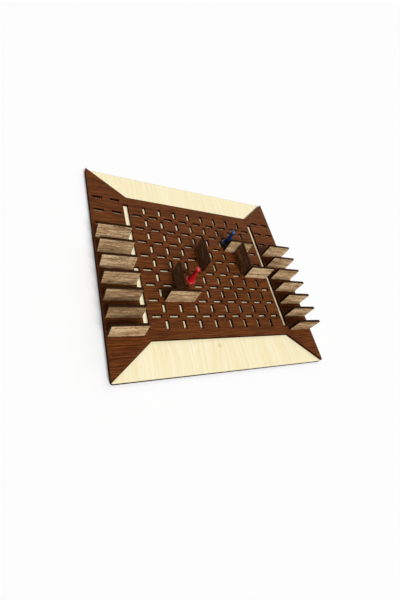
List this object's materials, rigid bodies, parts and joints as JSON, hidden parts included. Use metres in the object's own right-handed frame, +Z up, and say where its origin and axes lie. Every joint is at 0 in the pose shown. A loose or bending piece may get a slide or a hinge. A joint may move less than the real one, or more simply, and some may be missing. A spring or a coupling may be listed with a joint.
{
  "type": "wooden maze strategy game",
  "caption": "Slotted, layered wooden game board with upright wall pieces in side racks and on the playing field, and cone pawns that stand among them.",
  "frame": {"origin": "middle of the board's underside", "axes": "+Z up out of the play surface; +Y from the front player's end to the far end; +X across to the right-hand rack"},
  "size_m": [0.269, 0.2736, 0.0314],
  "materials": {
    "birch_panel": "sanded pale birch plywood, laser-charred at its cut edges",
    "walnut_panel": "oiled dark walnut plywood, laser-charred at its cut edges",
    "wall_plywood": "raw light brown plywood with dark flecks and charred edges",
    "red_pawn": "glossy red",
    "blue_pawn": "glossy blue"
  },
  "bodies": {
    "board": {"base_panel": "birch_panel", "play_panel": "walnut_panel"},
    "left_rack_wall_1": {"left_rack_wall_1": "wall_plywood"},
    "left_rack_wall_2": {"left_rack_wall_2": "wall_plywood"},
    "left_rack_wall_3": {"left_rack_wall_3": "wall_plywood"},
    "left_rack_wall_4": {"left_rack_wall_4": "wall_plywood"},
    "left_rack_wall_5": {"left_rack_wall_5": "wall_plywood"},
    "left_rack_wall_6": {"left_rack_wall_6": "wall_plywood"},
    "left_rack_wall_7": {"left_rack_wall_7": "wall_plywood"},
    "right_rack_wall_1": {"right_rack_wall_1": "wall_plywood"},
    "right_rack_wall_2": {"right_rack_wall_2": "wall_plywood"},
    "right_rack_wall_3": {"right_rack_wall_3": "wall_plywood"},
    "right_rack_wall_4": {"right_rack_wall_4": "wall_plywood"},
    "right_rack_wall_5": {"right_rack_wall_5": "wall_plywood"},
    "right_rack_wall_6": {"right_rack_wall_6": "wall_plywood"},
    "right_rack_wall_7": {"right_rack_wall_7": "wall_plywood"},
    "front_left_wall_across": {"front_left_wall_across": "wall_plywood"},
    "front_left_wall_along": {"front_left_wall_along": "wall_plywood"},
    "middle_wall_along": {"middle_wall_along": "wall_plywood"},
    "right_wall_along": {"right_wall_along": "wall_plywood"},
    "right_wall_across": {"right_wall_across": "wall_plywood"},
    "back_right_wall_across": {"back_right_wall_across": "wall_plywood"},
    "red_pawn": {"red_pawn": "red_pawn"},
    "blue_pawn": {"blue_pawn": "blue_pawn"}
  },
  "joints": [
    {"name": "left_rack_wall_1_lift", "type": "slide", "parent": "board", "child": "left_rack_wall_1", "axis": [0, 0, 1], "range_m": [0, 0.04]},
    {"name": "left_rack_wall_2_lift", "type": "slide", "parent": "board", "child": "left_rack_wall_2", "axis": [0, 0, 1], "range_m": [0, 0.04]},
    {"name": "left_rack_wall_3_lift", "type": "slide", "parent": "board", "child": "left_rack_wall_3", "axis": [0, 0, 1], "range_m": [0, 0.04]},
    {"name": "left_rack_wall_4_lift", "type": "slide", "parent": "board", "child": "left_rack_wall_4", "axis": [0, 0, 1], "range_m": [0, 0.04]},
    {"name": "left_rack_wall_5_lift", "type": "slide", "parent": "board", "child": "left_rack_wall_5", "axis": [0, 0, 1], "range_m": [0, 0.04]},
    {"name": "left_rack_wall_6_lift", "type": "slide", "parent": "board", "child": "left_rack_wall_6", "axis": [0, 0, 1], "range_m": [0, 0.04]},
    {"name": "left_rack_wall_7_lift", "type": "slide", "parent": "board", "child": "left_rack_wall_7", "axis": [0, 0, 1], "range_m": [0, 0.04]},
    {"name": "right_rack_wall_1_lift", "type": "slide", "parent": "board", "child": "right_rack_wall_1", "axis": [0, 0, 1], "range_m": [0, 0.04]},
    {"name": "right_rack_wall_2_lift", "type": "slide", "parent": "board", "child": "right_rack_wall_2", "axis": [0, 0, 1], "range_m": [0, 0.04]},
    {"name": "right_rack_wall_3_lift", "type": "slide", "parent": "board", "child": "right_rack_wall_3", "axis": [0, 0, 1], "range_m": [0, 0.04]},
    {"name": "right_rack_wall_4_lift", "type": "slide", "parent": "board", "child": "right_rack_wall_4", "axis": [0, 0, 1], "range_m": [0, 0.04]},
    {"name": "right_rack_wall_5_lift", "type": "slide", "parent": "board", "child": "right_rack_wall_5", "axis": [0, 0, 1], "range_m": [0, 0.04]},
    {"name": "right_rack_wall_6_lift", "type": "slide", "parent": "board", "child": "right_rack_wall_6", "axis": [0, 0, 1], "range_m": [0, 0.04]},
    {"name": "right_rack_wall_7_lift", "type": "slide", "parent": "board", "child": "right_rack_wall_7", "axis": [0, 0, 1], "range_m": [0, 0.04]},
    {"name": "front_left_wall_across_lift", "type": "slide", "parent": "board", "child": "front_left_wall_across", "axis": [0, 0, 1], "range_m": [0, 0.04]},
    {"name": "front_left_wall_along_lift", "type": "slide", "parent": "board", "child": "front_left_wall_along", "axis": [0, 0, 1], "range_m": [0, 0.04]},
    {"name": "middle_wall_along_lift", "type": "slide", "parent": "board", "child": "middle_wall_along", "axis": [0, 0, 1], "range_m": [0, 0.04]},
    {"name": "right_wall_along_lift", "type": "slide", "parent": "board", "child": "right_wall_along", "axis": [0, 0, 1], "range_m": [0, 0.04]},
    {"name": "right_wall_across_lift", "type": "slide", "parent": "board", "child": "right_wall_across", "axis": [0, 0, 1], "range_m": [0, 0.04]},
    {"name": "back_right_wall_across_lift", "type": "slide", "parent": "board", "child": "back_right_wall_across", "axis": [0, 0, 1], "range_m": [0, 0.04]},
    {"name": "red_pawn_lift", "type": "slide", "parent": "board", "child": "red_pawn", "axis": [0, 0, 1], "range_m": [0, 0.04]},
    {"name": "blue_pawn_lift", "type": "slide", "parent": "board", "child": "blue_pawn", "axis": [0, 0, 1], "range_m": [0, 0.04]}
  ]
}
